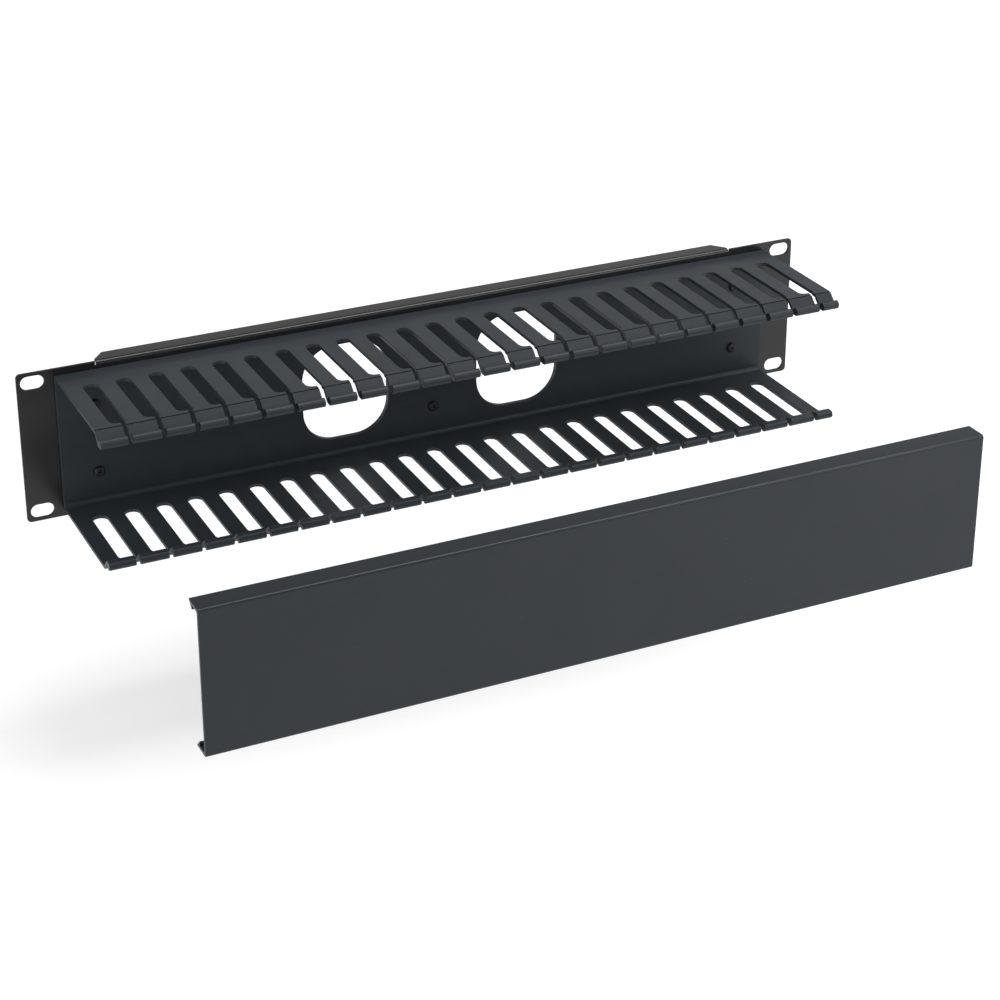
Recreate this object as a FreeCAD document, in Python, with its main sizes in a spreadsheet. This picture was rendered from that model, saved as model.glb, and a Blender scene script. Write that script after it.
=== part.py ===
import FreeCAD, Part
import math
import os
import Sketcher

# A 2U horizontal cable manager: a folded rack panel, an extruded finger duct screwed to its
# front, and the press-on cover of the duct, taken off and held out in front of it.
# X runs along the rack's width, Z is up and -Y is forward, out of the rack.
# The origin is the centre of the rack slots on the back face of the panel.

# Driving sizes in millimetres, one cell of the sheet each.
SIZES = {
    # Folded steel panel
    "sheet_thickness": 1.5,
    "panel_corner_radius": 2.5,
    "flange_reach": 10.0,
    "flange_from_end": 44.3,
    "flange_end_slant": 6.3,
    "bend_radius": 2.2,
    "bend_relief_width": 0.5,
    "bend_relief_depth": 2.6,
    # Rack slots, at the spacing of the rack's own holes
    "rack_slot_spacing_wide": 465.1,
    "rack_slot_spacing_high": 76.2,
    "rack_slot_length": 13.0,
    "rack_slot_width": 7.8,
    "rack_slot_from_end": 8.75,
    "rack_slot_from_edge": 5.95,
    # Holes that let cables through to the back of the rack
    "pass_hole_width": 52.0,
    "pass_hole_height": 58.0,
    "pass_hole_radius": 19.5,
    "pass_hole_spacing": 108.0,
    # Finger duct: a channel with slotted shelves
    "duct_from_end": 20.5,
    "duct_from_edge": 3.9,
    "duct_wall": 2.0,
    "duct_outer_radius": 1.0,
    "duct_inner_radius": 2.5,
    "shelf_depth": 76.0,
    "finger_count": 25,
    "finger_width": 9.6,
    "slot_back": 19.0,
    "slot_front": 72.5,
    "slot_front_bevel": 2.2,
    "neck_width": 2.5,
    "neck_step": 0.8,
    # Lip and bead at the tip of each finger
    "lip_drop": 4.7,
    "bead_reach": 10.2,
    "bead_drop": 7.5,
    "bead_top_drop": 2.8,
    "bead_top": 1.8,
    "bead_undercut": 1.0,
    # Cover
    "cover_wall": 2.0,
    "cover_corner_radius": 1.6,
    "cover_lip_thickness": 1.5,
    "cover_gap": 0.3,
    "cover_front_gap": 1.6,
    "cover_off_x": 2.0,
    "cover_off_y": -137.0,
    "cover_off_z": -28.5,
    # Screws and nuts that hold the duct to the panel
    "screw_columns": 3,
    "screw_from_duct_end": 20.8,
    "screw_spacing_high": 40.0,
    "screw_diameter": 3.0,
    "screw_hole_clearance": 0.4,
    "screw_head_diameter": 6.0,
    "screw_head_height": 2.0,
    "screw_tail": 1.6,
    "nut_across_flats": 5.5,
    "nut_thickness": 2.4,
    "thread_gap": 0.05,
}

# Places worked out from the sizes, as formulas on the sheet's cells.
PANEL_FRONT = "(-Sizes.sheet_thickness)"
BASE_FRONT = f"({PANEL_FRONT} - Sizes.duct_wall)"
FOLD = f"({PANEL_FRONT} - Sizes.shelf_depth)"
PANEL_END = "(Sizes.rack_slot_spacing_wide / 2 + Sizes.rack_slot_from_end)"
PANEL_EDGE = "(Sizes.rack_slot_spacing_high / 2 + Sizes.rack_slot_from_edge)"
DUCT_END = f"({PANEL_END} - Sizes.duct_from_end)"
DUCT_TOP = f"({PANEL_EDGE} - Sizes.duct_from_edge)"
SLOT_COUNT = "(Sizes.finger_count - 1)"
FINGER_PITCH = f"((2 * {DUCT_END} - Sizes.finger_width) / {SLOT_COUNT})"
SCREW_COLUMN = f"({DUCT_END} - Sizes.screw_from_duct_end)"
SCREW_COUNT = "(2 * Sizes.screw_columns)"

# Marks a corner that shares one half round with the next corner.
HALF_ROUND = "half round"

doc = FreeCAD.newDocument("CableManager")


def make_sheet():
    """The spreadsheet that holds every driving size."""
    new_sheet = doc.addObject("Spreadsheet::Sheet", "Sizes")
    for row, (alias, size) in enumerate(SIZES.items(), start=1):
        new_sheet.set(f"A{row}", alias)
        new_sheet.set(f"B{row}", str(size))
        new_sheet.setAlias(f"B{row}", alias)
    doc.recompute()
    return new_sheet


sheet = make_sheet()


def sized(formula):
    """What a formula on the sheet's cells comes to now."""
    return float(sheet.evalExpression(formula))


def new_body(name):
    """An empty body with a label of its own."""
    body = doc.addObject("PartDesign::Body", name)
    body.Label = name
    return body


def new_sketch(body, name, plane_role):
    """An empty sketch on one of the body's own origin planes."""
    sketch = body.newObject("Sketcher::SketchObject", name)
    planes = [item for item in body.Origin.OriginFeatures if item.Role == plane_role]
    sketch.AttachmentSupport = [(planes[0], "")]
    sketch.MapMode = "FlatFace"
    return sketch


def bind(sketch, kind, references, formula):
    """Adds a measured constraint whose size comes from the sheet."""
    index = sketch.addConstraint(Sketcher.Constraint(kind, *references, sized(formula)))
    sketch.setExpression(f"Constraints[{index}]", formula)


def pin_point(sketch, element, point, x_formula, y_formula):
    """Places one point of a sketch element from the sketch's origin."""
    bind(sketch, "DistanceX", (-1, 1, element, point), x_formula)
    bind(sketch, "DistanceY", (-1, 1, element, point), y_formula)


def draw_circle(sketch, x_formula, y_formula, radius_formula):
    """A circle with its centre and radius taken from the sheet."""
    centre = FreeCAD.Vector(sized(x_formula), sized(y_formula), 0)
    circle = sketch.addGeometry(Part.Circle(centre, FreeCAD.Vector(0, 0, 1), sized(radius_formula)))
    pin_point(sketch, circle, 3, x_formula, y_formula)
    bind(sketch, "Radius", (circle,), radius_formula)


def round_corner(before, corner, after, radius):
    """Where a rounded corner starts and ends, its arc, and whether the outline turns left."""
    back = (before - corner).normalize()
    ahead = (after - corner).normalize()
    half_angle = back.getAngle(ahead) / 2
    centre = corner + (back + ahead).normalize() * (radius / math.sin(half_angle))
    reach = radius / math.tan(half_angle)
    arrive = corner + back * reach
    leave = corner + ahead * reach
    turns_left = back.cross(ahead).z < 0
    arc = arc_between(centre, arrive, leave) if turns_left else arc_between(centre, leave, arrive)
    return arrive, leave, arc, turns_left


def round_end(before, corner, next_corner):
    """Where a half round over two corners starts and ends, and its arc."""
    inward = (before - corner).normalize()
    radius = (next_corner - corner).Length / 2
    arrive = corner + inward * radius
    leave = next_corner + inward * radius
    return arrive, leave, arc_between((arrive + leave) / 2, arrive, leave)


def arc_between(centre, start, end):
    """The counter-clockwise arc round a centre from one point to another."""
    first = math.atan2(start.y - centre.y, start.x - centre.x)
    last = math.atan2(end.y - centre.y, end.x - centre.x)
    if last < first:
        last += 2 * math.pi
    circle = Part.Circle(centre, FreeCAD.Vector(0, 0, 1), (start - centre).Length)
    return Part.ArcOfCircle(circle, first, last)


def draw_outline(sketch, corners):
    """A closed outline, counter-clockwise. Each corner is (x, y) or (x, y, radius), as formulas.

    The sharp outline is drawn as guide lines that carry the sizes. Sides and arcs lie on it.
    """
    count = len(corners)
    radii = [corner[2] if len(corner) > 2 else None for corner in corners]
    points = [FreeCAD.Vector(sized(corner[0]), sized(corner[1]), 0) for corner in corners]
    guides = []
    for index, point in enumerate(points):
        line = Part.LineSegment(point, points[(index + 1) % count])
        guides.append(sketch.addGeometry(line, True))
    for index, corner in enumerate(corners):
        sketch.addConstraint(Sketcher.Constraint("Coincident", guides[index - 1], 2, guides[index], 1))
        pin_point(sketch, guides[index], 1, corner[0], corner[1])

    # Where the outline arrives at each corner and where it leaves it.
    arrivals = list(points)
    departures = list(points)
    arcs = {}
    for index, radius in enumerate(radii):
        after = (index + 1) % count
        if radius == HALF_ROUND:
            joint = round_end(points[index - 1], points[index], points[after])
            arrivals[index], departures[after], arc = joint
            arcs[index] = (sketch.addGeometry(arc), True, after)
        elif radius:
            joint = round_corner(points[index - 1], points[index], points[after], sized(radius))
            arrivals[index], departures[index], arc, turns_left = joint
            arcs[index] = (sketch.addGeometry(arc), turns_left, index)

    # A side for each guide, except the guide that a half round replaces.
    sides = {}
    for index in range(count):
        if radii[index] != HALF_ROUND:
            line = Part.LineSegment(departures[index], arrivals[(index + 1) % count])
            sides[index] = sketch.addGeometry(line)

    for index, (arc, turns_left, after) in arcs.items():
        join_arc(sketch, arc, turns_left, sides[(index - 1) % count], sides[after])
        hold_on(sketch, sides[(index - 1) % count], 2, guides[index - 1])
        hold_on(sketch, sides[after], 1, guides[after])
        if radii[index] == HALF_ROUND:
            sketch.addConstraint(Sketcher.Constraint("Tangent", arc, guides[index]))
        else:
            bind(sketch, "Radius", (arc,), radii[index])
    for index in range(count):
        if radii[index] is None and radii[index - 1] != HALF_ROUND:
            previous = sides[(index - 1) % count]
            sketch.addConstraint(Sketcher.Constraint("Coincident", previous, 2, guides[index], 1))
            sketch.addConstraint(Sketcher.Constraint("Coincident", sides[index], 1, guides[index], 1))


def hold_on(sketch, side, point, guide):
    """Keeps one end of a side on its guide line."""
    sketch.addConstraint(Sketcher.Constraint("PointOnObject", side, point, guide))


def join_arc(sketch, arc, turns_left, side_before, side_after):
    """Makes an arc run on smoothly from the side before it to the side after it."""
    first, last = (1, 2) if turns_left else (2, 1)
    sketch.addConstraint(Sketcher.Constraint("Tangent", side_before, 2, arc, first))
    sketch.addConstraint(Sketcher.Constraint("Tangent", arc, last, side_after, 1))


def add_pad(body, name, sketch, length_formula, both_ways=False, turned=False):
    """Extrudes a sketch into the body."""
    pad = body.newObject("PartDesign::Pad", name)
    pad.Profile = sketch
    pad.Midplane = both_ways
    pad.Reversed = turned
    pad.setExpression("Length", length_formula)
    doc.recompute()
    return pad


def add_pocket(body, name, sketch, length_formula=None, turned=False):
    """Cuts a sketch out of the body, right through both ways where no length is given."""
    volume_before = body.Shape.Volume
    pocket = body.newObject("PartDesign::Pocket", name)
    pocket.Profile = sketch
    if length_formula is None:
        pocket.Type = "ThroughAll"
        pocket.Midplane = True
    else:
        pocket.Reversed = turned
        pocket.setExpression("Length", length_formula)
    doc.recompute()
    if body.Shape.Volume >= volume_before:
        raise RuntimeError(f"{name} cut nothing")
    return pocket


def add_row(body, name, features, sketch, along, up=None):
    """Repeats features along the sketch's X axis and, where up is given, its Y axis too.

    Both along and up are (length formula, count formula).
    """
    row = body.newObject("PartDesign::LinearPattern", name)
    row.Originals = features
    row.Direction = (sketch, ["H_Axis"])
    row.setExpression("Length", along[0])
    row.setExpression("Occurrences", along[1])
    if up:
        row.Direction2 = (sketch, ["V_Axis"])
        row.setExpression("Length2", up[0])
        row.setExpression("Occurrences2", up[1])
    body.Tip = row
    doc.recompute()
    return row


def edges_at(shape, points):
    """Names of the edges whose middle lies at one of the points."""
    reach = 0.01
    names = []
    for number, edge in enumerate(shape.Edges, start=1):
        middle = edge.valueAt((edge.FirstParameter + edge.LastParameter) / 2)
        if any((middle - point).Length < reach for point in points):
            names.append(f"Edge{number}")
    return names


def add_fillet(body, name, points, radius_formula):
    """Rounds the edges that have their middle at one of the points."""
    base = body.Tip
    fillet = body.newObject("PartDesign::Fillet", name)
    fillet.Base = (base, edges_at(base.Shape, points))
    fillet.setExpression("Radius", radius_formula)
    doc.recompute()
    return fillet


def rectangle(low_x, low_y, high_x, high_y, radius=None):
    """Corners of a rectangle, all with the same radius."""
    corners = [(low_x, low_y), (high_x, low_y), (high_x, high_y), (low_x, high_y)]
    if radius:
        corners = [corner + (radius,) for corner in corners]
    return corners


def mirrored(corners):
    """Corners of the lower half, in the order that closes the outline after the upper half."""
    return [(corner[0], f"-({corner[1]})") + corner[2:] for corner in reversed(corners)]


def cut_screw_holes(body):
    """Clearance holes for the screws, in columns of two."""
    sketch = new_sketch(body, f"{body.Label}_screw_hole", "XZ_Plane")
    low = "-Sizes.screw_spacing_high / 2"
    radius = "(Sizes.screw_diameter + Sizes.screw_hole_clearance) / 2"
    draw_circle(sketch, f"-{SCREW_COLUMN}", low, radius)
    hole = add_pocket(body, f"{body.Label}_hole", sketch)
    along = (f"2 * {SCREW_COLUMN}", "Sizes.screw_columns")
    add_row(body, f"{body.Label}_holes", [hole], sketch, along, ("Sizes.screw_spacing_high", "2"))


def cut_pass_holes(body):
    """The two rounded holes that let cables through the base and the panel."""
    sketch = new_sketch(body, f"{body.Label}_pass_outline", "XZ_Plane")
    middle = "Sizes.pass_hole_spacing / 2"
    half_width = "Sizes.pass_hole_width / 2"
    half_height = "Sizes.pass_hole_height / 2"
    corners = rectangle(
        f"-{middle} - {half_width}",
        f"-{half_height}",
        f"-{middle} + {half_width}",
        half_height,
        "Sizes.pass_hole_radius",
    )
    draw_outline(sketch, corners)
    hole = add_pocket(body, f"{body.Label}_pass_hole", sketch)
    add_row(body, f"{body.Label}_pass_holes", [hole], sketch, ("Sizes.pass_hole_spacing", "2"))


def make_rack_panel():
    """The steel panel: a flat face with ears, and a flange folded back along each long edge."""
    body = new_body("rack_panel")
    half_flange = f"({PANEL_END} - Sizes.flange_from_end)"

    face = new_sketch(body, "panel_outline", "XZ_Plane")
    radius = "Sizes.panel_corner_radius"
    draw_outline(face, rectangle(f"-{PANEL_END}", f"-{PANEL_EDGE}", PANEL_END, PANEL_EDGE, radius))
    add_pad(body, "panel_face", face, "Sizes.sheet_thickness")

    flange = new_sketch(body, "flange_outline", "XY_Plane")
    back_half = f"{half_flange} - Sizes.flange_end_slant"
    corners = [
        (f"-{half_flange}", PANEL_FRONT),
        (half_flange, PANEL_FRONT),
        (half_flange, "Sizes.bend_radius"),
        (back_half, "Sizes.flange_reach"),
        (f"-({back_half})", "Sizes.flange_reach"),
        (f"-{half_flange}", "Sizes.bend_radius"),
    ]
    draw_outline(flange, corners)
    flange.setExpression("AttachmentOffset.Base.z", PANEL_EDGE)
    top_flange = add_pad(body, "top_flange", flange, "Sizes.sheet_thickness", turned=True)
    mirror = body.newObject("PartDesign::Mirrored", "bottom_flange")
    mirror.Originals = [top_flange]
    mirror.MirrorPlane = (face, ["H_Axis"])
    body.Tip = mirror
    doc.recompute()

    # A small notch at each end of each flange lets the sheet bend there.
    relief = new_sketch(body, "relief_outline", "XZ_Plane")
    relief_end = f"{half_flange} + Sizes.bend_relief_width"
    below = f"{PANEL_EDGE} + Sizes.sheet_thickness"
    relief_high = f"{PANEL_EDGE} - Sizes.bend_relief_depth"
    low, high = f"-({below})", f"-({relief_high})"
    draw_outline(relief, rectangle(f"-({relief_end})", low, f"-{half_flange}", high))
    notch = add_pocket(body, "bend_relief", relief)
    across = f"{half_flange} * 2 + Sizes.bend_relief_width"
    add_row(body, "bend_reliefs", [notch], relief, (across, "2"), (f"{below} + {relief_high}", "2"))

    front = sized(PANEL_FRONT)
    top = sized(PANEL_EDGE)
    inner_top = sized(f"{PANEL_EDGE} - Sizes.sheet_thickness")
    inner = [FreeCAD.Vector(0, 0, side * inner_top) for side in (-1, 1)]
    outer = [FreeCAD.Vector(0, front, side * top) for side in (-1, 1)]
    add_fillet(body, "inner_bends", inner, "Sizes.bend_radius - Sizes.sheet_thickness")
    add_fillet(body, "outer_bends", outer, "Sizes.bend_radius")

    cut_rack_slots(body)
    cut_pass_holes(body)
    cut_screw_holes(body)
    return body


def cut_rack_slots(body):
    """Four slots, one in each corner, that take the rack's own screws."""
    sketch = new_sketch(body, "rack_slot_outline", "XZ_Plane")
    across = "Sizes.rack_slot_spacing_wide / 2"
    low = "Sizes.rack_slot_spacing_high / 2"
    half_length = "Sizes.rack_slot_length / 2"
    half_width = "Sizes.rack_slot_width / 2"
    corners = [
        (f"-{across} - {half_length}", f"-{low} - {half_width}"),
        (f"-{across} + {half_length}", f"-{low} - {half_width}", HALF_ROUND),
        (f"-{across} + {half_length}", f"-{low} + {half_width}"),
        (f"-{across} - {half_length}", f"-{low} + {half_width}", HALF_ROUND),
    ]
    draw_outline(sketch, corners)
    slot = add_pocket(body, "rack_slot", sketch)
    along = ("Sizes.rack_slot_spacing_wide", "2")
    add_row(body, "rack_slots", [slot], sketch, along, ("Sizes.rack_slot_spacing_high", "2"))


def make_finger_duct():
    """The duct: one extruded channel with slots punched through both shelves."""
    body = new_body("finger_duct")
    section = new_sketch(body, "duct_section", "YZ_Plane")
    draw_outline(section, duct_section())
    add_pad(body, "duct_extrusion", section, f"2 * {DUCT_END}", both_ways=True)

    slot = new_sketch(body, "slot_outline", "XY_Plane")
    draw_outline(slot, finger_slot())
    cut = add_pocket(body, "finger_slot", slot)
    span = f"({SLOT_COUNT} - 1) * {FINGER_PITCH}"
    add_row(body, "finger_slots", [cut], slot, (span, SLOT_COUNT))

    cut_pass_holes(body)
    cut_screw_holes(body)
    return body


def duct_section():
    """The channel's section as (forward, up): base, shelves, and a bead on each lip.

    The lip slopes in at 45 degrees from the fold, so that the cover's lip can hook behind the
    bead, and the bead slopes down in front from its flat top.
    """
    wall = "Sizes.duct_wall"
    # How far a wall's inner corner moves at a 45 degree bend.
    bend_shift = f"{wall} * (sqrt(2) - 1)"
    # The bead's back rises square to the lip.
    top_back = "(2 * Sizes.lip_drop - Sizes.bead_top_drop)"
    top_front = f"({top_back} + Sizes.bead_top)"
    front_drop = f"(Sizes.bead_top_drop + Sizes.bead_reach - {top_front})"
    upper = [
        (BASE_FRONT, f"{DUCT_TOP} - {wall}", "Sizes.duct_inner_radius"),
        (f"{FOLD} + {bend_shift}", f"{DUCT_TOP} - {wall}"),
        (f"{FOLD} + {bend_shift} - (Sizes.bead_drop - {wall})", f"{DUCT_TOP} - Sizes.bead_drop"),
        (f"{FOLD} - Sizes.bead_reach + Sizes.bead_undercut", f"{DUCT_TOP} - Sizes.bead_drop"),
        (f"{FOLD} - Sizes.bead_reach", f"{DUCT_TOP} - {front_drop}"),
        (f"{FOLD} - {top_front}", f"{DUCT_TOP} - Sizes.bead_top_drop"),
        (f"{FOLD} - {top_back}", f"{DUCT_TOP} - Sizes.bead_top_drop"),
        (f"{FOLD} - Sizes.lip_drop", f"{DUCT_TOP} - Sizes.lip_drop"),
        (FOLD, DUCT_TOP),
        (PANEL_FRONT, DUCT_TOP, "Sizes.duct_outer_radius"),
    ]
    # Seen along +X with Y to the right, the upper half runs clockwise, so it is turned round.
    return list(reversed(upper)) + mirrored(list(reversed(upper)))


def finger_slot():
    """The first slot as (across, forward): a half round at the back and a narrow neck in front.

    Each finger's head spreads over the slot beside it, mostly towards +X.
    """
    left = f"(Sizes.finger_width - {DUCT_END})"
    right = f"({FINGER_PITCH} - {DUCT_END})"
    neck_right = f"{right} - Sizes.neck_step"
    neck_left = f"{neck_right} - Sizes.neck_width"
    back = f"{PANEL_FRONT} - Sizes.slot_back"
    front = f"{PANEL_FRONT} - Sizes.slot_front"
    clear = f"{FOLD} - Sizes.bead_reach - Sizes.duct_wall"
    return [
        (right, back, HALF_ROUND),
        (left, back),
        (left, f"{front} + Sizes.slot_front_bevel"),
        (f"{left} + Sizes.slot_front_bevel", front),
        (neck_left, front),
        (neck_left, clear),
        (neck_right, clear),
        (neck_right, front),
        (right, front),
    ]


def make_duct_cover():
    """The cover: a shallow extruded channel with a lip turned in at the back of each flange."""
    body = new_body("duct_cover")
    section = new_sketch(body, "cover_section", "YZ_Plane")
    draw_outline(section, cover_section())
    add_pad(body, "cover_extrusion", section, f"2 * {DUCT_END}", both_ways=True)
    body.setExpression("Placement.Base.x", "Sizes.cover_off_x")
    body.setExpression("Placement.Base.y", "Sizes.cover_off_y")
    body.setExpression("Placement.Base.z", "Sizes.cover_off_z")
    doc.recompute()
    return body


def cover_section():
    """The cover's section as (forward, up), where it sits when it is pressed on."""
    gap_shift = "Sizes.cover_gap * sqrt(2)"
    lip_shift = "(Sizes.cover_gap + Sizes.cover_lip_thickness) * sqrt(2)"
    lip_half = "Sizes.cover_lip_thickness / sqrt(2)"
    front_inner = f"{FOLD} - Sizes.bead_reach - Sizes.cover_front_gap"
    inner_top = f"{DUCT_TOP} - Sizes.cover_wall"
    upper = [
        (front_inner, inner_top),
        (f"{FOLD} - ({lip_shift} + Sizes.cover_wall)", inner_top),
        (
            f"{FOLD} - (Sizes.lip_drop + {lip_half})",
            f"{DUCT_TOP} - (Sizes.lip_drop - {gap_shift} - {lip_half})",
        ),
        (f"{FOLD} - Sizes.lip_drop", f"{DUCT_TOP} - (Sizes.lip_drop - {gap_shift})"),
        (f"{FOLD} - {gap_shift}", DUCT_TOP),
        (f"{front_inner} - Sizes.cover_wall", DUCT_TOP, "Sizes.cover_corner_radius"),
    ]
    return list(reversed(upper)) + mirrored(list(reversed(upper)))


def screw_place(index):
    """Formulas for the (x, z) of one screw: lower row first, columns from the left."""
    row = f"floor({index} / Sizes.screw_columns)"
    column = f"({index} - Sizes.screw_columns * {row})"
    across = f"(2 * {column} / (Sizes.screw_columns - 1) - 1) * {SCREW_COLUMN}"
    return across, f"({row} - 0.5) * Sizes.screw_spacing_high"


def place_fastener(body, index):
    """Moves a screw or a nut to its hole."""
    across, height = screw_place(index)
    body.setExpression("Placement.Base.x", across)
    body.setExpression("Placement.Base.z", height)
    doc.recompute()


def make_screw(index):
    """A screw with a flat round head, seated on the duct's base."""
    name = f"screw_{index + 1}"
    body = new_body(name)
    head = "Sizes.screw_head_diameter / 2"
    shank = "Sizes.screw_diameter / 2"
    top = f"{BASE_FRONT} - Sizes.screw_head_height"
    tail = "Sizes.nut_thickness + Sizes.screw_tail"
    profile = new_sketch(body, f"{name}_profile", "XY_Plane")
    corners = [
        ("0", top),
        (head, top),
        (head, BASE_FRONT),
        (shank, BASE_FRONT),
        (shank, tail),
        ("0", tail),
    ]
    draw_outline(profile, corners)
    turned = body.newObject("PartDesign::Revolution", f"{name}_turned")
    turned.Profile = profile
    turned.ReferenceAxis = (profile, ["V_Axis"])
    turned.Angle = 360
    doc.recompute()
    place_fastener(body, index)
    return body


def make_nut(index):
    """A hex nut on the back of the panel."""
    name = f"nut_{index + 1}"
    body = new_body(name)
    outline = new_sketch(body, f"{name}_outline", "XZ_Plane")
    half_flat = "Sizes.nut_across_flats / 2"
    corners = []
    for side in range(6):
        angle = f"{60 * side} deg"
        corner_radius = f"{half_flat} / cos(30 deg)"
        corners.append((f"{corner_radius} * cos({angle})", f"{corner_radius} * sin({angle})"))
    draw_outline(outline, corners)
    add_pad(body, f"{name}_blank", outline, "Sizes.nut_thickness", turned=True)
    bore = new_sketch(body, f"{name}_bore_outline", "XZ_Plane")
    draw_circle(bore, "0", "0", "Sizes.screw_diameter / 2 + Sizes.thread_gap")
    add_pocket(body, f"{name}_bore", bore)
    place_fastener(body, index)
    return body


def check_document():
    """Stops if any feature failed."""
    doc.recompute()
    for item in doc.Objects:
        if "Invalid" in item.State or "Error" in item.State:
            raise RuntimeError(f"{item.Label} failed: {item.State}")


def write_parts(bodies):
    """Writes each sub-part to a file of its own, once its solid is known to be sound."""
    os.makedirs("parts", exist_ok=True)
    for body in bodies:
        shape = body.Shape
        if shape.isNull() or not shape.isValid() or len(shape.Solids) != 1:
            raise RuntimeError(f"{body.Label} is not one sound solid")
    for body in bodies:
        body.Shape.exportStep(f"parts/{body.Label}.step")
        print(body.Label, round(body.Shape.Volume, 1), body.Shape.BoundBox)


sub_parts = [make_rack_panel(), make_finger_duct(), make_duct_cover()]
for place in range(round(sized(SCREW_COUNT))):
    sub_parts.append(make_screw(place))
    sub_parts.append(make_nut(place))
check_document()
write_parts(sub_parts)
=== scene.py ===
import math

import bmesh
import bpy
from mathutils import Matrix, Vector


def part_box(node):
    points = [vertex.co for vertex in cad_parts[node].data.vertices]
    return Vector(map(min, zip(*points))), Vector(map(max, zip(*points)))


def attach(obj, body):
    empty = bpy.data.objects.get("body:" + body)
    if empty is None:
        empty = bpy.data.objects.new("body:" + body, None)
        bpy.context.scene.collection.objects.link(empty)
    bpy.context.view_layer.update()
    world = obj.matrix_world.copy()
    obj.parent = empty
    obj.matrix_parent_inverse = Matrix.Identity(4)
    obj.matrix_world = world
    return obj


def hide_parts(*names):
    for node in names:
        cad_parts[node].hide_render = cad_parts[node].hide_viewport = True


# A horizontal cable manager for a 19 inch rack: a folded steel panel, an extruded finger duct
# screwed to its front, and the duct's cover, held out in front of it.
# Metres, in the frame of the solids: X along the rack, Z up, -Y forward out of the rack.
bl_info = {
    "name": "Horizontal cable manager",
    "version": (1, 0, 0),
    "blender": (4, 5, 0),
    "location": "View3D > Sidebar > Cable manager",
    "description": "Dresses the pieces of a rack cable manager and sets up its stage",
    "category": "Object",
}

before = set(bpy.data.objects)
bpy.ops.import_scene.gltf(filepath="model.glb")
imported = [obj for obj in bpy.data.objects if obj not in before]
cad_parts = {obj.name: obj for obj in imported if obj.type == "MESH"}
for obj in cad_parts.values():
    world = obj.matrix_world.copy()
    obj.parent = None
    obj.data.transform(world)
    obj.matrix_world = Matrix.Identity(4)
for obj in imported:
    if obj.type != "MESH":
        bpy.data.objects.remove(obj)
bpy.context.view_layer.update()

MM = 0.001
SCREWS = sorted(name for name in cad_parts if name.startswith("screw_"))
NUTS = sorted(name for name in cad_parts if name.startswith("nut_"))

# Points of a CAD mesh this close are one point, and faces that turn less are one flat face.
MERGE_REACH = 0.002 * MM
FLAT_TURN = math.radians(0.5)
# An edge this near to a depth or a height lies on it.
NEAR = 0.01 * MM
# More than this of its direction: an edge or a face points along an axis. Less: across it.
ALONG = 0.99
ACROSS = 0.01
# The turns, in degrees, between which an edge is a fold of half a right angle.
LEAST_FOLD = 40
MOST_FOLD = 50
# Edges that turn more than the first are broken when a piece is softened, and those that turn
# less than the second are shaded smooth.
SHARP_TURN = math.radians(50)
SMOOTH_TURN = math.radians(46)
# How strongly a large face keeps its own shading flat beside a small one.
FLAT_WEIGHT = 90

# The duct's beads lie within this of its front.
BEAD_REACH = 9 * MM
# The two arms of a screw's recess cross at right angles, in degrees round the screw's own axis.
RECESS_TURNS = (20, 110)
# How much of its width and length an arm of the recess keeps at its bottom.
RECESS_TAPER = 0.55
# The shank reaches this far into the head, and the thread's foot this far into the core.
SHANK_OVERLAP = 0.1 * MM
THREAD_OVERLAP = 0.02 * MM
# Half the width of the thread's foot, as a part of the pitch.
THREAD_HALF_WIDTH = 0.42
# Steps in one turn of the thread.
THREAD_STEPS = 20

# A noise texture gives values that lie mostly between these two.
NOISE_SPREAD = {"From Min": 0.3, "From Max": 0.7}

# The floor reaches far past every view.
FLOOR_SPAN = 14.0
# Levels of light, where 1 is white: the floor's own glow and the sky, each as gloss shows it and
# as light on the object. The sky's level in gloss changes with the direction.
FLOOR_IN_GLOSS = 0.42
FLOOR_AS_LIGHT = 0.0
SKY_AS_LIGHT = 0.35
# Each lamp: its place, the point it faces, its width and height, all in metres, and its watts.
SOFTBOXES = {
    # Lights the tops, and shows as the sheen on the sloped lips and the beads.
    "top_softbox": ((0.5, -0.12, 1.5), (0, -0.1, 0), (0.8, 1.15), 15.5),
    # Lights the cover's face and the panel from the front.
    "front_softbox": ((-0.35, -1.6, 0.55), (0, -0.1, 0), (1.4, 1.4), 4.3),
    # Lights the part of the floor that the right ear and the cover's right end mirror.
    "right_softbox": ((0.62, -0.78, 0.42), (0.36, -0.6, -0.16), (0.5, 0.5), 2.6),
    # Grazes the left ear and the left end of the duct.
    "left_softbox": ((-0.8, -0.02, 0.1), (-0.2, -0.04, 0.0), (0.3, 0.3), 1.4),
}


def from_hex(text):
    """A linear colour from an sRGB hex value."""
    linear = []
    for place in (1, 3, 5):
        part = int(text[place : place + 2], 16) / 255
        linear.append(part / 12.92 if part <= 0.04045 else ((part + 0.055) / 1.055) ** 2.4)
    return (*linear, 1.0)


def size_property(name, description, millimetres):
    """A length that a user may change."""
    return bpy.props.FloatProperty(
        name=name,
        description=description,
        default=millimetres * MM,
        subtype="DISTANCE",
        unit="LENGTH",
    )


def colour_property(name, description, hex_value):
    """A colour that a user may change."""
    return bpy.props.FloatVectorProperty(
        name=name,
        description=description,
        default=from_hex(hex_value),
        size=4,
        min=0.0,
        max=1.0,
        subtype="COLOR",
    )


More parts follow.
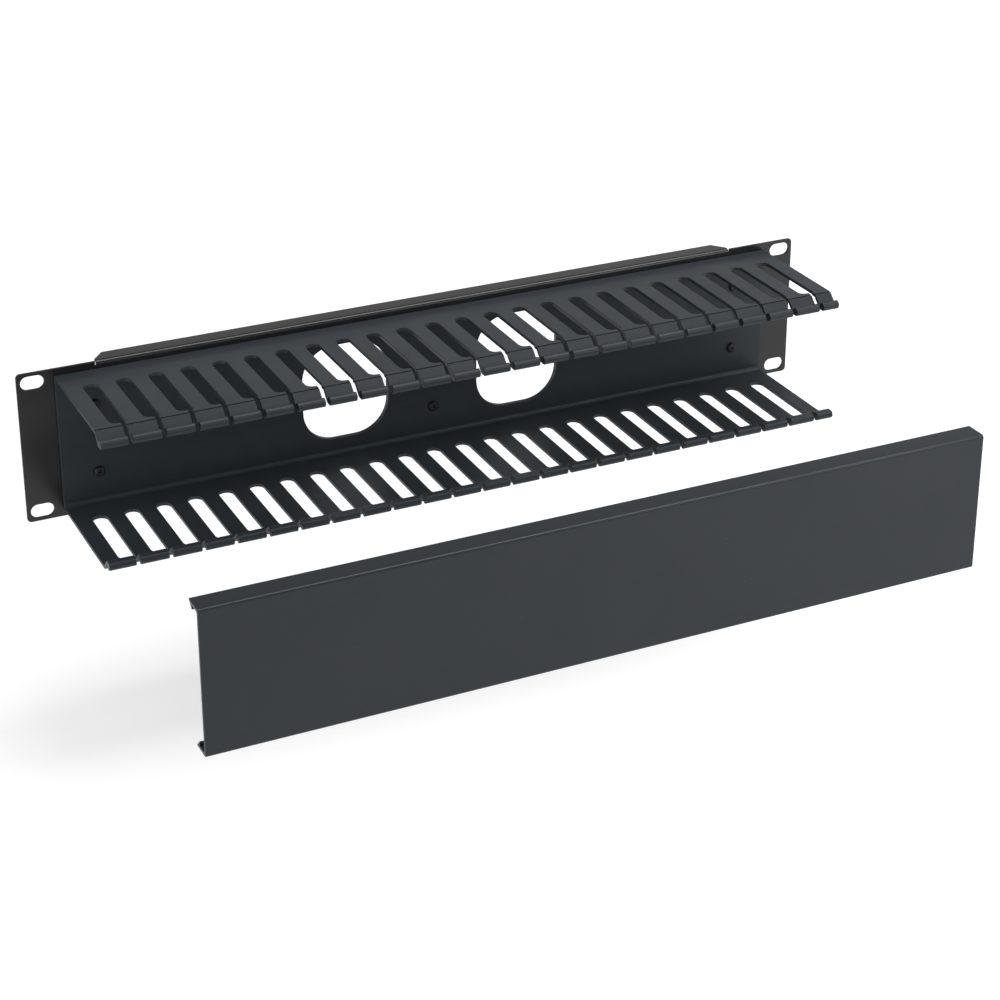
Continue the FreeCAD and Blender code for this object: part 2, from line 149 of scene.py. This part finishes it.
class CableManagerSizes(bpy.types.PropertyGroup):
    """Sizes of the small shapes that the dressed pieces have."""

    panel_edge: size_property("Panel edge", "Round of the coated sheet's edges", 0.3)
    duct_edge: size_property("Duct edge", "Round of the duct's punched edges", 0.25)
    duct_bead: size_property("Duct bead", "Round of the bead's own edges", 0.9)
    duct_wall: size_property("Duct wall", "Thickness of the duct under a screw's head", 2.0)
    slot_corner: size_property("Slot corner", "Round of each finger slot's front corner", 1.3)
    score_width: size_property("Score width", "Width of the fine groove along each fold", 0.8)
    score_depth: size_property("Score depth", "How far a groove goes in, and back", 0.75)
    cover_edge: size_property("Cover edge", "Round of the cover's ends and lips", 0.3)
    head_dome: size_property("Head dome", "Round of a screw head's rim", 1.25)
    head_edge: size_property("Head edge", "Round of a screw head's other edges", 0.06)
    recess_width: size_property("Recess width", "Width of one arm of the cross recess", 0.85)
    recess_length: size_property("Recess length", "Length of one arm, tip to tip", 3.7)
    recess_depth: size_property("Recess depth", "Depth of a screw's cross recess", 1.1)
    thread_radius: size_property("Thread radius", "Outer radius of a screw's thread", 1.5)
    thread_pitch: size_property("Thread pitch", "Distance between two turns of it", 0.5)
    thread_depth: size_property("Thread depth", "Height of the thread over its core", 0.31)
    shank_end: size_property("Shank end", "Bevel at the end of a screw's shank", 0.3)
    nut_chamfer: size_property("Nut chamfer", "How far a nut's corners are cut down", 0.35)
    nut_edge: size_property("Nut edge", "Round of a nut's edges", 0.05)
    floor_drop: size_property("Floor drop", "How far the floor lies below the cover", 90.0)


class CableManagerColours(bpy.types.PropertyGroup):
    """Colours of the finishes."""

    powder_coat: colour_property("Powder coat", "Colour of the coated steel", "#1c1c1e")
    duct_plastic: colour_property("Duct plastic", "Colour of the extruded duct", "#31373c")
    cover_plastic: colour_property("Cover plastic", "Colour of the extruded cover", "#23292e")
    black_oxide: colour_property("Black oxide", "Colour of the screws and nuts", "#3c3c3e")
    floor: colour_property("Floor", "Colour of the floor", "#e6e6e6")


def activate(piece):
    """Makes one object the only selected and the active one."""
    bpy.ops.object.select_all(action="DESELECT")
    piece.select_set(True)
    bpy.context.view_layer.objects.active = piece


def copy_of_node(node_name, piece_name):
    """A merged copy of a CAD node's mesh, with flat faces in one piece."""
    piece = bpy.data.objects.new(piece_name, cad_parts[node_name].data.copy())
    bpy.context.scene.collection.objects.link(piece)
    piece.data.materials.clear()
    activate(piece)
    bpy.ops.object.mode_set(mode="EDIT")
    bpy.ops.mesh.select_all(action="SELECT")
    bpy.ops.mesh.remove_doubles(threshold=MERGE_REACH)
    bpy.ops.mesh.dissolve_limited(angle_limit=FLAT_TURN)
    bpy.ops.object.mode_set(mode="OBJECT")
    return piece


def round_edges(piece, wanted, width, segments):
    """Rounds the edges that wanted(middle, direction, turn in degrees) picks."""
    activate(piece)
    bpy.ops.object.mode_set(mode="EDIT")
    bpy.ops.mesh.select_mode(type="EDGE")
    bpy.ops.mesh.select_all(action="DESELECT")
    mesh = bmesh.from_edit_mesh(piece.data)
    picked = 0
    for edge in mesh.edges:
        if not edge.is_manifold:
            continue
        first, last = (vertex.co for vertex in edge.verts)
        turn = math.degrees(edge.calc_face_angle_signed())
        if wanted((first + last) / 2, (last - first).normalized(), turn):
            edge.select_set(True)
            picked += 1
    bmesh.update_edit_mesh(piece.data)
    if not picked:
        raise RuntimeError(f"{piece.name}: no edge to round")
    bpy.ops.mesh.bevel(offset=width, segments=segments, affect="EDGES", clamp_overlap=False)
    bpy.ops.object.mode_set(mode="OBJECT")


def press_groove(piece, wanted, width, push):
    """Presses a groove in along the edges that wanted picks: push moves its bottom inwards."""
    round_edges(piece, wanted, width / 2, segments=2)
    bpy.ops.object.mode_set(mode="EDIT")
    mesh = bmesh.from_edit_mesh(piece.data)
    strips = {face for face in mesh.faces if face.select}
    bottom = []
    for edge in mesh.edges:
        first, last = (vertex.co for vertex in edge.verts)
        between_strips = len(strips.intersection(edge.link_faces)) == 2
        if between_strips and abs((last - first).normalized().x) > ALONG:
            bottom.append(edge)
    if not bottom:
        raise RuntimeError(f"{piece.name}: no groove to press in")
    bpy.ops.mesh.select_mode(type="EDGE")
    bpy.ops.mesh.select_all(action="DESELECT")
    for edge in bottom:
        edge.select_set(True)
    bmesh.update_edit_mesh(piece.data)
    bpy.ops.transform.translate(value=push)
    bpy.ops.object.mode_set(mode="OBJECT")


def add_modifier(piece, kind, **settings):
    """Adds a modifier to a piece and applies it."""
    activate(piece)
    modifier = piece.modifiers.new(kind, kind)
    for name, value in settings.items():
        setattr(modifier, name, value)
    bpy.ops.object.modifier_apply(modifier=modifier.name)


def soften(piece, width):
    """Breaks the sharp edges that are left, and shades the piece smooth between flat faces."""
    add_modifier(
        piece,
        "BEVEL",
        width=width,
        segments=2,
        limit_method="ANGLE",
        angle_limit=SHARP_TURN,
        use_clamp_overlap=False,
        miter_outer="MITER_ARC",
    )
    shade(piece)


def shade(piece):
    """Smooth shading that leaves flat faces flat."""
    activate(piece)
    bpy.ops.object.shade_smooth_by_angle(angle=SMOOTH_TURN)
    add_modifier(piece, "WEIGHTED_NORMAL", keep_sharp=True, weight=FLAT_WEIGHT)


def dress(piece, nodes, body, material):
    """Gives a finished piece its finish and puts it in the place of its CAD nodes."""
    piece.data.materials.append(material)
    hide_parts(*nodes)
    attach(piece, body)


def add_node(material, kind, values):
    """Adds a shader node. Each value is a socket to link, an input's level or a setting."""
    node = material.node_tree.nodes.new(kind)
    for name, value in values.items():
        if isinstance(value, bpy.types.NodeSocket):
            material.node_tree.links.new(value, node.inputs[name])
        elif isinstance(name, int) or name in node.inputs:
            node.inputs[name].default_value = value
        else:
            setattr(node, name, value)
    return node


def new_material(name):
    """A new material with an empty node tree."""
    material = bpy.data.materials.new(name)
    material.use_nodes = True
    material.node_tree.nodes.clear()
    return material


def powder_coated_steel(colour):
    """Polyester powder, baked on: near black and satin, mottled a little where light grazes it."""
    material = new_material("powder_coated_steel")
    # Orange peel is a wave of 1 to 2 mm. The powder's grit is nearer to 0.1 mm, which is too fine
    # to show, so it is drawn coarser.
    peel_size = 1.6 * MM
    grit_size = 0.7 * MM
    cloud_size = 60 * MM
    place = add_node(material, "ShaderNodeTexCoord", {}).outputs["Object"]
    peel = add_node(
        material, "ShaderNodeTexNoise", {"Scale": 1 / peel_size, "Detail": 1.5, "Vector": place}
    )
    grit = add_node(
        material, "ShaderNodeTexNoise", {"Scale": 1 / grit_size, "Detail": 2.0, "Vector": place}
    )
    cloud = add_node(
        material, "ShaderNodeTexNoise", {"Scale": 1 / cloud_size, "Detail": 3.0, "Vector": place}
    )
    peel_bump = add_node(
        material,
        "ShaderNodeBump",
        {"Strength": 0.15, "Distance": 0.05 * MM, "Height": peel.outputs["Fac"]},
    )
    bump = add_node(
        material,
        "ShaderNodeBump",
        {
            "Strength": 0.25,
            "Distance": 0.02 * MM,
            "Height": grit.outputs["Fac"],
            "Normal": peel_bump.outputs["Normal"],
        },
    )
    tint = add_node(
        material,
        "ShaderNodeMapRange",
        {**NOISE_SPREAD, "To Min": 0.9, "To Max": 1.12, "Value": cloud.outputs["Fac"]},
    )
    shaded = add_node(
        material,
        "ShaderNodeVectorMath",
        {"operation": "SCALE", "Vector": colour[:3], "Scale": tint.outputs["Result"]},
    )
    sheen = add_node(
        material,
        "ShaderNodeMapRange",
        {**NOISE_SPREAD, "To Min": 0.28, "To Max": 0.31, "Value": grit.outputs["Fac"]},
    )
    surface = add_node(
        material,
        "ShaderNodeBsdfPrincipled",
        {
            "IOR": 1.5,
            "Specular IOR Level": 0.5,
            "Base Color": shaded.outputs["Vector"],
            "Roughness": sheen.outputs["Result"],
            "Normal": bump.outputs["Normal"],
        },
    )
    add_node(material, "ShaderNodeOutputMaterial", {"Surface": surface.outputs["BSDF"]})
    return material


def extruded_pvc(name, colour, roughness, gloss):
    """Rigid PVC, extruded: satin and even, with faint die lines along X and a few pale specks."""
    material = new_material(name)
    # Die lines run the length of the piece. The plastic's own grain is nearer to 0.1 mm, which is
    # too fine to show, so it is drawn coarser.
    line_pitch = 1.4 * MM
    line_length = 240 * MM
    grain_size = 0.8 * MM
    scuff_size = 35 * MM
    speck_spacing = 16 * MM
    speck_size = 0.25 * MM
    # How much brighter a speck is, and over how many times its size it fades into the plastic.
    speck_gain = 3.0
    speck_fade = 1.6
    # How far the scuffs move the roughness up and down.
    scuff_reach = 0.06
    place = add_node(material, "ShaderNodeTexCoord", {}).outputs["Object"]
    stretched = add_node(
        material,
        "ShaderNodeMapping",
        {"Scale": (1 / line_length, 1 / line_pitch, 1 / line_pitch), "Vector": place},
    )
    lines = add_node(
        material,
        "ShaderNodeTexNoise",
        {"Scale": 1.0, "Detail": 3.0, "Vector": stretched.outputs["Vector"]},
    )
    grain = add_node(
        material, "ShaderNodeTexNoise", {"Scale": 1 / grain_size, "Detail": 2.0, "Vector": place}
    )
    scuffs = add_node(
        material, "ShaderNodeTexNoise", {"Scale": 1 / scuff_size, "Detail": 5.0, "Vector": place}
    )
    line_bump = add_node(
        material,
        "ShaderNodeBump",
        {"Strength": 0.12, "Distance": 0.03 * MM, "Height": lines.outputs["Fac"]},
    )
    bump = add_node(
        material,
        "ShaderNodeBump",
        {
            "Strength": 0.25,
            "Distance": 0.02 * MM,
            "Height": grain.outputs["Fac"],
            "Normal": line_bump.outputs["Normal"],
        },
    )
    tint = add_node(
        material,
        "ShaderNodeMapRange",
        {**NOISE_SPREAD, "To Min": 0.96, "To Max": 1.05, "Value": lines.outputs["Fac"]},
    )
    dots = add_node(
        material, "ShaderNodeTexVoronoi", {"Scale": 1 / speck_spacing, "Vector": place}
    )
    speck = add_node(
        material,
        "ShaderNodeMapRange",
        {
            "From Min": speck_size / speck_spacing,
            "From Max": speck_fade * speck_size / speck_spacing,
            "To Min": speck_gain,
            "To Max": 1.0,
            "Value": dots.outputs["Distance"],
        },
    )
    tone = add_node(
        material,
        "ShaderNodeMath",
        {"operation": "MULTIPLY", 0: tint.outputs["Result"], 1: speck.outputs["Result"]},
    )
    shaded = add_node(
        material,
        "ShaderNodeVectorMath",
        {"operation": "SCALE", "Vector": colour[:3], "Scale": tone.outputs["Value"]},
    )
    dryness = add_node(
        material,
        "ShaderNodeMapRange",
        {
            **NOISE_SPREAD,
            "To Min": roughness - scuff_reach,
            "To Max": roughness + scuff_reach,
            "Value": scuffs.outputs["Fac"],
        },
    )
    surface = add_node(
        material,
        "ShaderNodeBsdfPrincipled",
        {
            "IOR": 1.53,
            "Specular IOR Level": gloss,
            "Base Color": shaded.outputs["Vector"],
            "Roughness": dryness.outputs["Result"],
            "Normal": bump.outputs["Normal"],
        },
    )
    add_node(material, "ShaderNodeOutputMaterial", {"Surface": surface.outputs["BSDF"]})
    return material


def black_oxide_steel(colour):
    """Black oxide on steel: thin and dark, with a dull gloss that changes from grain to grain."""
    material = new_material("black_oxide_steel")
    # The oxide's own grain is far below 0.1 mm, which is too fine to show, so it is drawn coarser.
    grain_size = 0.5 * MM
    place = add_node(material, "ShaderNodeTexCoord", {}).outputs["Object"]
    grain = add_node(
        material, "ShaderNodeTexNoise", {"Scale": 1 / grain_size, "Detail": 3.0, "Vector": place}
    )
    bump = add_node(
        material,
        "ShaderNodeBump",
        {"Strength": 0.3, "Distance": 0.01 * MM, "Height": grain.outputs["Fac"]},
    )
    gloss = add_node(
        material,
        "ShaderNodeMapRange",
        {**NOISE_SPREAD, "To Min": 0.34, "To Max": 0.5, "Value": grain.outputs["Fac"]},
    )
    surface = add_node(
        material,
        "ShaderNodeBsdfPrincipled",
        {
            "Base Color": colour,
            "Metallic": 0.8,
            "Roughness": gloss.outputs["Result"],
            "Normal": bump.outputs["Normal"],
        },
    )
    add_node(material, "ShaderNodeOutputMaterial", {"Surface": surface.outputs["BSDF"]})
    return material


class DressRackPanel(bpy.types.Operator):
    """Dresses the folded steel panel: softened edges and powder coat"""

    bl_idname = "cable_manager.rack_panel"
    bl_label = "Rack panel"

    def execute(self, context):
        sizes = context.scene.cable_manager_sizes
        piece = copy_of_node("rack_panel", "coated_panel")
        soften(piece, sizes.panel_edge)
        finish = powder_coated_steel(context.scene.cable_manager_colours.powder_coat)
        dress(piece, ["rack_panel"], "manager", finish)
        return {"FINISHED"}


class DressFingerDuct(bpy.types.Operator):
    """Dresses the duct: fine grooves at its folds, rounded beads and slots, softened edges"""

    bl_idname = "cable_manager.finger_duct"
    bl_label = "Finger duct"

    def execute(self, context):
        sizes = context.scene.cable_manager_sizes
        piece = copy_of_node("finger_duct", "fingered_duct")
        low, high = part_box("finger_duct")

        def slot_corner(middle, direction, turn):
            return abs(direction.z) > ALONG and LEAST_FOLD < abs(turn) < MOST_FOLD

        def fold(side):
            """Picks the folds on the outer face of the top shelf (1) or the lower one (-1)."""

            def wanted(middle, direction, turn):
                outer = high.z - side * middle.z < NEAR
                return abs(direction.x) > ALONG and LEAST_FOLD < turn < MOST_FOLD and outer

            return wanted

        def bead(middle, direction, turn):
            in_front = middle.y < low.y + BEAD_REACH
            return abs(direction.x) > ALONG and turn > LEAST_FOLD and in_front

        round_edges(piece, slot_corner, sizes.slot_corner, segments=3)
        # Each groove leans back under its shelf, so that it stays dark from every side.
        for side in (-1, 1):
            push = Vector((0, sizes.score_depth, -side * sizes.score_depth))
            press_groove(piece, fold(side), sizes.score_width, push)
        round_edges(piece, bead, sizes.duct_bead, segments=4)
        soften(piece, sizes.duct_edge)
        finish = extruded_pvc(
            "extruded_duct_pvc",
            context.scene.cable_manager_colours.duct_plastic,
            roughness=0.4,
            gloss=0.24,
        )
        dress(piece, ["finger_duct"], "manager", finish)
        return {"FINISHED"}


class DressDuctCover(bpy.types.Operator):
    """Dresses the cover: softened ends and lips"""

    bl_idname = "cable_manager.duct_cover"
    bl_label = "Duct cover"

    def execute(self, context):
        sizes = context.scene.cable_manager_sizes
        piece = copy_of_node("duct_cover", "extruded_cover")
        soften(piece, sizes.cover_edge)
        finish = extruded_pvc(
            "extruded_cover_pvc",
            context.scene.cable_manager_colours.cover_plastic,
            roughness=0.35,
            gloss=0.36,
        )
        dress(piece, ["duct_cover"], "cover", finish)
        return {"FINISHED"}


def centre_of(node_name):
    """The middle of a CAD node's box."""
    low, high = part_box(node_name)
    return (low + high) / 2


def combine(piece, tool, operation):
    """Cuts a helper out of a piece, or keeps only what lies inside it, and deletes the helper."""
    add_modifier(piece, "BOOLEAN", object=tool, operation=operation, solver="EXACT")
    bpy.data.objects.remove(tool, do_unlink=True)


def add_cylinder(name, radius, back, front, place, sides):
    """A cylinder along Y through a place, from its back to its front."""
    bpy.ops.object.select_all(action="DESELECT")
    bpy.ops.mesh.primitive_cylinder_add(
        vertices=sides,
        radius=radius,
        depth=back - front,
        location=(place.x, (back + front) / 2, place.z),
        rotation=(math.radians(90), 0, 0),
    )
    piece = bpy.context.active_object
    piece.name = name
    bpy.ops.object.transform_apply(location=True, rotation=True, scale=True)
    return piece


def at_depth(depth):
    """Picks the edges of a rim that lies across Y at one depth."""

    def wanted(middle, direction, turn):
        return abs(middle.y - depth) < NEAR and abs(direction.y) < ACROSS

    return wanted


def add_recess_arm(place, front, sizes, turn):
    """One arm of the recess: a block that gets narrower and shorter towards its bottom."""
    bpy.ops.object.select_all(action="DESELECT")
    # Half of the block stands in front of the head.
    bpy.ops.mesh.primitive_cube_add(size=1.0, location=(place.x, front, place.z))
    arm = bpy.context.active_object
    arm.scale = (sizes.recess_length, 2 * sizes.recess_depth, sizes.recess_width)
    arm.rotation_euler = (0, turn, 0)
    bpy.ops.object.transform_apply(location=True, rotation=True, scale=True)
    bpy.ops.object.mode_set(mode="EDIT")
    bpy.ops.mesh.select_mode(type="FACE")
    bpy.ops.mesh.select_all(action="DESELECT")
    mesh = bmesh.from_edit_mesh(arm.data)
    for face in mesh.faces:
        face.select_set(face.normal.y > ALONG)
    bpy.ops.transform.resize(
        value=(RECESS_TAPER, 1.0, RECESS_TAPER), center_override=(place.x, front, place.z)
    )
    bpy.ops.object.mode_set(mode="OBJECT")
    return arm


def add_thread(place, back, front, sizes):
    """A ridge that winds round the core, closed at both ends."""
    foot = sizes.thread_radius - sizes.thread_depth - THREAD_OVERLAP
    half_width = THREAD_HALF_WIDTH * sizes.thread_pitch
    outline = [(foot, 0, -half_width), (sizes.thread_radius, 0, 0), (foot, 0, half_width)]
    mesh = bpy.data.meshes.new("thread")
    mesh.from_pydata(outline, [(0, 1), (1, 2), (2, 0)], [])
    thread = bpy.data.objects.new("thread", mesh)
    bpy.context.scene.collection.objects.link(thread)
    add_modifier(
        thread,
        "SCREW",
        steps=THREAD_STEPS,
        render_steps=THREAD_STEPS,
        iterations=round((back - front) / sizes.thread_pitch) - 1,
        screw_offset=sizes.thread_pitch,
        use_merge_vertices=False,
    )
    activate(thread)
    bpy.ops.object.mode_set(mode="EDIT")
    bpy.ops.mesh.select_mode(type="EDGE")
    bpy.ops.mesh.select_all(action="DESELECT")
    bpy.ops.mesh.select_non_manifold()
    bpy.ops.mesh.edge_face_add()
    bpy.ops.mesh.select_all(action="SELECT")
    bpy.ops.mesh.normals_make_consistent(inside=False)
    bpy.ops.object.mode_set(mode="OBJECT")
    thread.location = (place.x, front + sizes.thread_pitch / 2, place.z)
    thread.rotation_euler = (math.radians(-90), 0, 0)
    bpy.ops.object.transform_apply(location=True, rotation=True, scale=True)
    return thread


def copy_to(piece, name, offset):
    """A copy of a finished piece with a mesh of its own, moved by an offset."""
    copy = bpy.data.objects.new(name, piece.data.copy())
    copy.data.transform(Matrix.Translation(offset))
    bpy.context.scene.collection.objects.link(copy)
    return copy


class DressScrews(bpy.types.Operator):
    """Models a pan head screw with a cross recess and a thread, and copies it to each hole"""

    bl_idname = "cable_manager.screws"
    bl_label = "Screws"

    def execute(self, context):
        sizes = context.scene.cable_manager_sizes
        finish = black_oxide_steel(context.scene.cable_manager_colours.black_oxide)
        first = SCREWS[0]
        place = centre_of(first)
        low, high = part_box(first)
        head_radius = (high.x - low.x) / 2
        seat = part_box("finger_duct")[1].y - sizes.duct_wall
        screw = add_cylinder(f"pan_head_{first}", head_radius, seat, low.y, place, sides=56)
        round_edges(screw, at_depth(low.y), sizes.head_dome, segments=6)
        for turn in RECESS_TURNS:
            arm = add_recess_arm(place, low.y, sizes, math.radians(turn))
            combine(screw, arm, "DIFFERENCE")
        soften(screw, sizes.head_edge)
        core = sizes.thread_radius - sizes.thread_depth
        shank = add_cylinder("shank", core, high.y, seat - SHANK_OVERLAP, place, sides=32)
        round_edges(shank, at_depth(high.y), sizes.shank_end, segments=2)
        shade(shank)
        thread = add_thread(place, high.y, seat, sizes)
        shade(thread)
        activate(screw)
        shank.select_set(True)
        thread.select_set(True)
        bpy.ops.object.join()
        for name in SCREWS[1:]:
            copy = copy_to(screw, f"pan_head_{name}", centre_of(name) - place)
            dress(copy, [name], "manager", finish)
        dress(screw, [first], "manager", finish)
        return {"FINISHED"}


class DressNuts(bpy.types.Operator):
    """Chamfers a hex nut's corners on both sides, and copies it to each screw"""

    bl_idname = "cable_manager.nuts"
    bl_label = "Nuts"

    def execute(self, context):
        sizes = context.scene.cable_manager_sizes
        finish = bpy.data.materials["black_oxide_steel"]
        first = NUTS[0]
        place = centre_of(first)
        low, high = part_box(first)
        nut = copy_of_node(first, f"hex_{first}")
        corner_radius = (high.x - low.x) / 2
        round_blank = add_cylinder("blank", corner_radius, high.y, low.y, place, sides=64)
        for depth in (low.y, high.y):
            round_edges(round_blank, at_depth(depth), sizes.nut_chamfer, segments=1)
        combine(nut, round_blank, "INTERSECT")
        soften(nut, sizes.nut_edge)
        for name in NUTS[1:]:
            copy = copy_to(nut, f"hex_{name}", centre_of(name) - place)
            dress(copy, [name], "manager", finish)
        dress(nut, [first], "manager", finish)
        return {"FINISHED"}


def add_softbox(name, place, target, span, power):
    """A soft lamp, as wide and high as span says, that faces a point."""
    lamp = bpy.data.lights.new(name, "AREA")
    lamp.shape = "RECTANGLE"
    lamp.size, lamp.size_y = span
    lamp.energy = power
    holder = bpy.data.objects.new(name, lamp)
    bpy.context.scene.collection.objects.link(holder)
    holder.location = place
    holder.rotation_euler = (Vector(target) - Vector(place)).to_track_quat("-Z", "Y").to_euler()


def add_camera():
    """The camera, at the angle and distance worked out from the panel's rack slots and ears."""
    place = Vector((-0.5123, -1.1706, 0.5632))
    turn = math.radians(-25.45)
    dip = math.radians(23.28)
    data = bpy.data.cameras.new("camera")
    data.sensor_width = 36.0
    data.lens = 86.83
    data.shift_y = -0.15
    data.clip_end = 50.0
    camera = bpy.data.objects.new("camera", data)
    bpy.context.scene.collection.objects.link(camera)
    right = Vector((math.cos(turn), math.sin(turn), 0.0))
    level = math.cos(dip)
    ahead = Vector((-math.sin(turn) * level, math.cos(turn) * level, -math.sin(dip)))
    up = right.cross(ahead)
    rotation = Matrix((right, up, -ahead)).transposed().to_4x4()
    camera.matrix_world = Matrix.Translation(place) @ rotation
    bpy.context.scene.camera = camera


def seen_strength(surroundings, in_gloss, as_light):
    """How bright surroundings are: 1 to the camera, and their own levels in gloss and as light.

    A level is a number, or a socket where it changes with the direction.
    """
    path = add_node(surroundings, "ShaderNodeLightPath", {})
    camera_ray = path.outputs["Is Camera Ray"]
    mirrored_ray = add_node(
        surroundings,
        "ShaderNodeMath",
        {
            "operation": "MAXIMUM",
            0: path.outputs["Is Glossy Ray"],
            1: path.outputs["Is Transmission Ray"],
        },
    ).outputs["Value"]
    mirrored = add_node(
        surroundings, "ShaderNodeMath", {"operation": "MULTIPLY", 0: mirrored_ray, 1: in_gloss}
    ).outputs["Value"]
    seen = add_node(
        surroundings, "ShaderNodeMath", {"operation": "ADD", 0: camera_ray, 1: mirrored_ray}
    ).outputs["Value"]
    unseen = add_node(
        surroundings, "ShaderNodeMath", {"operation": "SUBTRACT", 0: 1.0, 1: seen}
    ).outputs["Value"]
    light = add_node(
        surroundings, "ShaderNodeMath", {"operation": "MULTIPLY", 0: unseen, 1: as_light}
    ).outputs["Value"]
    shown = add_node(
        surroundings, "ShaderNodeMath", {"operation": "ADD", 0: camera_ray, 1: mirrored}
    ).outputs["Value"]
    return add_node(
        surroundings, "ShaderNodeMath", {"operation": "ADD", 0: shown, 1: light}
    ).outputs["Value"]


def matte_paper_floor(colour):
    """Matte backdrop paper: white to the camera wherever the object's shadow doesn't fall."""
    material = new_material("matte_paper_floor")
    paper = add_node(
        material,
        "ShaderNodeBsdfPrincipled",
        {"Base Color": colour, "Roughness": 0.9, "Specular IOR Level": 0.2},
    )
    place = add_node(material, "ShaderNodeTexCoord", {}).outputs["Object"]
    distance = add_node(material, "ShaderNodeVectorMath", {"operation": "LENGTH", 0: place})
    # The lamps fade away from the object, so the glow grows there, and its shadow stays.
    filling = add_node(
        material,
        "ShaderNodeMapRange",
        {
            "From Min": 0.35,
            "From Max": 1.2,
            "To Min": 0.42,
            "To Max": 0.75,
            "Value": distance.outputs["Value"],
        },
    )
    glow_strength = add_node(
        material,
        "ShaderNodeMath",
        {
            "operation": "MULTIPLY",
            0: seen_strength(material, FLOOR_IN_GLOSS, FLOOR_AS_LIGHT),
            1: filling.outputs["Result"],
        },
    )
    glow = add_node(
        material,
        "ShaderNodeEmission",
        {"Color": (1, 1, 1, 1), "Strength": glow_strength.outputs["Value"]},
    )
    both = add_node(
        material,
        "ShaderNodeAddShader",
        {0: paper.outputs["BSDF"], 1: glow.outputs["Emission"]},
    )
    add_node(material, "ShaderNodeOutputMaterial", {"Surface": both.outputs["Shader"]})
    return material


def white_studio():
    """White surroundings that gloss shows bright low behind the object, and dark above it."""
    world = bpy.data.worlds.new("white_studio")
    world.use_nodes = True
    world.node_tree.nodes.clear()
    direction = add_node(world, "ShaderNodeTexCoord", {}).outputs["Generated"]
    parts = add_node(world, "ShaderNodeSeparateXYZ", {"Vector": direction})
    # The top shelf and the flange mirror the low part of this fade, and the cover's top its end.
    fade = add_node(
        world,
        "ShaderNodeMapRange",
        {
            "From Min": 0.35,
            "From Max": 0.44,
            "To Min": 0.76,
            "To Max": 0.1,
            "Value": parts.outputs["Z"],
        },
    ).outputs["Result"]
    behind = add_node(
        world,
        "ShaderNodeMapRange",
        {
            "From Min": -0.2,
            "From Max": 0.2,
            "To Min": 0.25,
            "To Max": 1.0,
            "Value": parts.outputs["Y"],
        },
    ).outputs["Result"]
    mirrored_sky = add_node(
        world, "ShaderNodeMath", {"operation": "MULTIPLY", 0: fade, 1: behind}
    ).outputs["Value"]
    sky = add_node(
        world,
        "ShaderNodeBackground",
        {"Color": (1, 1, 1, 1), "Strength": seen_strength(world, mirrored_sky, SKY_AS_LIGHT)},
    )
    add_node(world, "ShaderNodeOutputWorld", {"Surface": sky.outputs["Background"]})
    return world


class SetStage(bpy.types.Operator):
    """Adds the floor, the soft lamps, the white surroundings and the camera"""

    bl_idname = "cable_manager.stage"
    bl_label = "Stage"

    def execute(self, context):
        scene = context.scene
        floor_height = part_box("duct_cover")[0].z - scene.cable_manager_sizes.floor_drop
        bpy.ops.object.select_all(action="DESELECT")
        bpy.ops.mesh.primitive_plane_add(size=FLOOR_SPAN, location=(0, 0, floor_height))
        floor = context.active_object
        floor.name = "floor"
        bpy.ops.object.transform_apply(location=True, rotation=True, scale=True)
        floor.data.materials.append(matte_paper_floor(scene.cable_manager_colours.floor))
        scene.world = white_studio()
        for name, settings in SOFTBOXES.items():
            add_softbox(name, *settings)
        add_camera()
        scene.view_settings.view_transform = "Standard"
        return {"FINISHED"}


OPERATORS = (DressRackPanel, DressFingerDuct, DressDuctCover, DressScrews, DressNuts, SetStage)


class CableManagerPanel(bpy.types.Panel):
    """Lists the steps, the sizes and the colours in the sidebar"""

    bl_idname = "VIEW3D_PT_cable_manager"
    bl_label = "Cable manager"
    bl_space_type = "VIEW_3D"
    bl_region_type = "UI"
    bl_category = "Cable manager"

    def draw(self, context):
        for operator in OPERATORS:
            self.layout.operator(operator.bl_idname)
        for group in (context.scene.cable_manager_sizes, context.scene.cable_manager_colours):
            for name in group.bl_rna.properties.keys():
                if name not in ("rna_type", "name"):
                    self.layout.prop(group, name)


CLASSES = (CableManagerSizes, CableManagerColours, *OPERATORS, CableManagerPanel)


def register():
    """Registers the classes and hangs the property groups on the scene."""
    for item in CLASSES:
        bpy.utils.register_class(item)
    bpy.types.Scene.cable_manager_sizes = bpy.props.PointerProperty(type=CableManagerSizes)
    bpy.types.Scene.cable_manager_colours = bpy.props.PointerProperty(type=CableManagerColours)


def unregister():
    """Takes the property groups and the classes away again."""
    del bpy.types.Scene.cable_manager_colours
    del bpy.types.Scene.cable_manager_sizes
    for item in reversed(CLASSES):
        bpy.utils.unregister_class(item)


def main():
    """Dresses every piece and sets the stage."""
    register()
    bpy.ops.cable_manager.rack_panel()
    bpy.ops.cable_manager.finger_duct()
    bpy.ops.cable_manager.duct_cover()
    bpy.ops.cable_manager.screws()
    bpy.ops.cable_manager.nuts()
    bpy.ops.cable_manager.stage()


if __name__ == "__main__":
    main()
